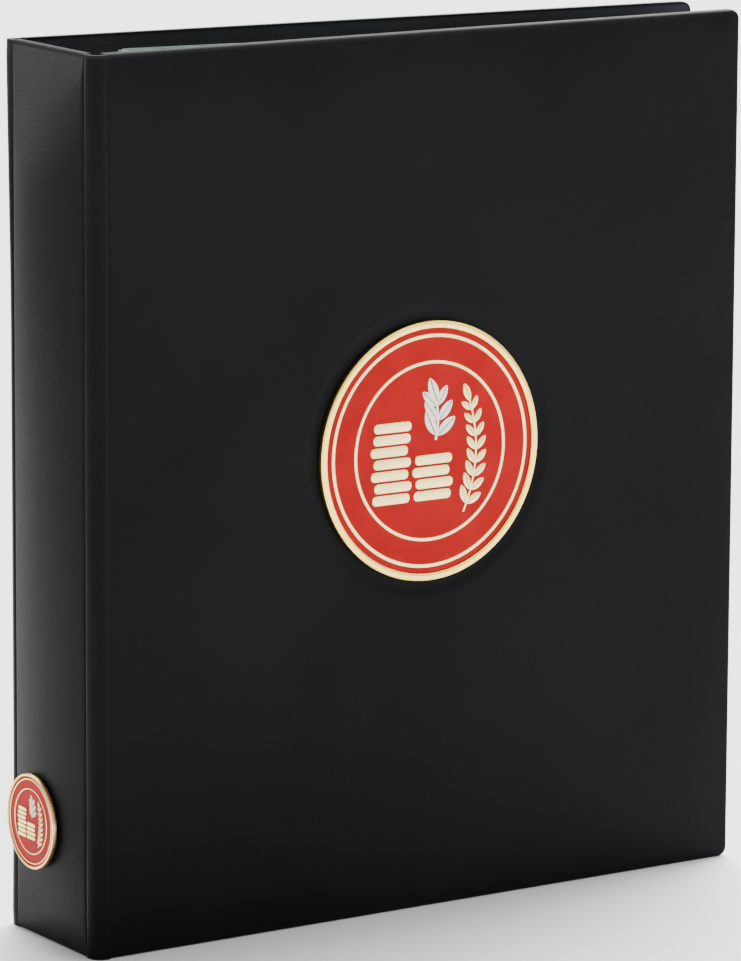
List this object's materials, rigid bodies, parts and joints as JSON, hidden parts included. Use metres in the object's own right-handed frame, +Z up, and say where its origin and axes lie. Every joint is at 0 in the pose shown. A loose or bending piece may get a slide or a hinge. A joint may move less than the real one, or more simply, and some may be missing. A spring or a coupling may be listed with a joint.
{
  "type": "coin album",
  "caption": "Padded black coin album with a round enamelled medallion, hinged covers, a ring mechanism with release levers, clear coin pages and green cards.",
  "frame": {"origin": "middle of the album's bounding box, on the surface that it stands on", "axes": "+X from the spine to the fore edge, +Y from the front cover to the back cover, +Z up"},
  "size_m": [0.2404, 0.054, 0.27],
  "materials": {
    "leatherette": "black, satin",
    "lining": "black, matt",
    "foam": "open-cell foam",
    "greyboard": "raw paper board",
    "gold": "pale gold plate",
    "enamel": "red enamel",
    "relief": "pale gold plate",
    "steel": "zinc plated",
    "chrome": "nickel plated",
    "green_card": "smooth coloured card",
    "coin_page": "clear film"
  },
  "bodies": {
    "spine": {"spine_skin": "leatherette", "spine_foam": "foam", "spine_board": "greyboard", "spine_lining": "lining", "front_hinge_strip": "leatherette", "back_hinge_strip": "leatherette", "spine_badge_plate": "gold", "spine_badge_enamel": "enamel", "spine_badge_relief": "relief", "ring_canopy": "chrome", "canopy_rivet_1": "steel", "canopy_rivet_2": "steel", "lower_trigger_pin": "steel", "upper_trigger_pin": "steel"},
    "front_cover": {"front_skin": "leatherette", "front_foam": "foam", "front_board": "greyboard", "front_lining": "lining", "front_badge_plate": "gold", "front_badge_enamel": "enamel", "front_badge_relief": "relief"},
    "back_cover": {"back_skin": "leatherette", "back_foam": "foam", "back_board": "greyboard", "back_lining": "lining"},
    "front_ring_set": {"front_hinge_plate": "steel", "front_half_ring_1": "chrome", "front_half_ring_2": "chrome", "front_half_ring_3": "chrome", "front_half_ring_4": "chrome"},
    "back_ring_set": {"back_hinge_plate": "steel", "back_half_ring_1": "chrome", "back_half_ring_2": "chrome", "back_half_ring_3": "chrome", "back_half_ring_4": "chrome"},
    "lower_trigger": {"lower_trigger": "chrome"},
    "upper_trigger": {"upper_trigger": "chrome"},
    "green_card_1_leaf": {"green_card_1": "green_card"},
    "coin_page_1_leaf": {"coin_page_1": "coin_page"},
    "green_card_2_leaf": {"green_card_2": "green_card"},
    "coin_page_2_leaf": {"coin_page_2": "coin_page"},
    "green_card_3_leaf": {"green_card_3": "green_card"},
    "coin_page_3_leaf": {"coin_page_3": "coin_page"},
    "green_card_4_leaf": {"green_card_4": "green_card"},
    "coin_page_4_leaf": {"coin_page_4": "coin_page"},
    "green_card_5_leaf": {"green_card_5": "green_card"}
  },
  "joints": [
    {"name": "front_cover_open", "type": "hinge", "parent": "spine", "child": "front_cover", "pos_m": [-0.11649, -0.027, 0.135], "axis": [0, 0, -1], "range_deg": [0, 180], "deforming": ["front_hinge_strip"]},
    {"name": "back_cover_open", "type": "hinge", "parent": "spine", "child": "back_cover", "pos_m": [-0.11649, 0.027, 0.135], "axis": [0, 0, 1], "range_deg": [0, 180], "deforming": ["back_hinge_strip"]},
    {"name": "rings_open", "type": "hinge", "parent": "spine", "child": "front_ring_set", "pos_m": [-0.11029, -0.0098, 0.135], "axis": [0, 0, -1], "range_deg": [0, 10]},
    {"name": "back_rings_open", "type": "hinge", "parent": "spine", "child": "back_ring_set", "pos_m": [-0.11029, 0.0098, 0.135], "axis": [0, 0, 1], "range_deg": [0, 10]},
    {"name": "lower_trigger_press", "type": "hinge", "parent": "spine", "child": "lower_trigger", "pos_m": [-0.11109, 0, 0.027], "axis": [0, 1, 0], "range_deg": [0, 20]},
    {"name": "upper_trigger_press", "type": "hinge", "parent": "spine", "child": "upper_trigger", "pos_m": [-0.11109, 0, 0.243], "axis": [0, -1, 0], "range_deg": [0, 20]},
    {"name": "green_card_1_turn", "type": "hinge", "parent": "spine", "child": "green_card_1_leaf", "pos_m": [-0.09319, 0, 0.135], "axis": [0, 0, -1], "range_deg": [0, 115]},
    {"name": "coin_page_1_turn", "type": "hinge", "parent": "spine", "child": "coin_page_1_leaf", "pos_m": [-0.09319, 0, 0.135], "axis": [0, 0, -1], "range_deg": [0, 106]},
    {"name": "green_card_2_turn", "type": "hinge", "parent": "spine", "child": "green_card_2_leaf", "pos_m": [-0.09319, 0, 0.135], "axis": [0, 0, -1], "range_deg": [0, 97]},
    {"name": "coin_page_2_turn", "type": "hinge", "parent": "spine", "child": "coin_page_2_leaf", "pos_m": [-0.09319, 0, 0.135], "axis": [0, 0, -1], "range_deg": [0, 88]},
    {"name": "green_card_3_turn", "type": "hinge", "parent": "spine", "child": "green_card_3_leaf", "pos_m": [-0.09319, 0, 0.135], "axis": [0, 0, -1], "range_deg": [0, 79]},
    {"name": "green_card_5_turn", "type": "hinge", "parent": "spine", "child": "green_card_5_leaf", "pos_m": [-0.09319, 0, 0.135], "axis": [0, 0, 1], "range_deg": [0, 96]},
    {"name": "coin_page_4_turn", "type": "hinge", "parent": "spine", "child": "coin_page_4_leaf", "pos_m": [-0.09319, 0, 0.135], "axis": [0, 0, 1], "range_deg": [0, 87]},
    {"name": "green_card_4_turn", "type": "hinge", "parent": "spine", "child": "green_card_4_leaf", "pos_m": [-0.09319, 0, 0.135], "axis": [0, 0, 1], "range_deg": [0, 78]},
    {"name": "coin_page_3_turn", "type": "hinge", "parent": "spine", "child": "coin_page_3_leaf", "pos_m": [-0.09319, 0, 0.135], "axis": [0, 0, 1], "range_deg": [0, 69]}
  ],
  "couplings": [
    {"joint": "back_rings_open", "follows": "rings_open", "ratio": 1},
    {"joint": "lower_trigger_press", "follows": "rings_open", "ratio": 2},
    {"joint": "upper_trigger_press", "follows": "rings_open", "ratio": 2},
    {"joint": "green_card_1_turn", "follows": "front_cover_open", "ratio": 0.63889},
    {"joint": "coin_page_1_turn", "follows": "front_cover_open", "ratio": 0.58889},
    {"joint": "green_card_2_turn", "follows": "front_cover_open", "ratio": 0.53889},
    {"joint": "coin_page_2_turn", "follows": "front_cover_open", "ratio": 0.48889},
    {"joint": "green_card_3_turn", "follows": "front_cover_open", "ratio": 0.43889},
    {"joint": "green_card_5_turn", "follows": "back_cover_open", "ratio": 0.53333},
    {"joint": "coin_page_4_turn", "follows": "back_cover_open", "ratio": 0.48333},
    {"joint": "green_card_4_turn", "follows": "back_cover_open", "ratio": 0.43333},
    {"joint": "coin_page_3_turn", "follows": "back_cover_open", "ratio": 0.38333}
  ]
}
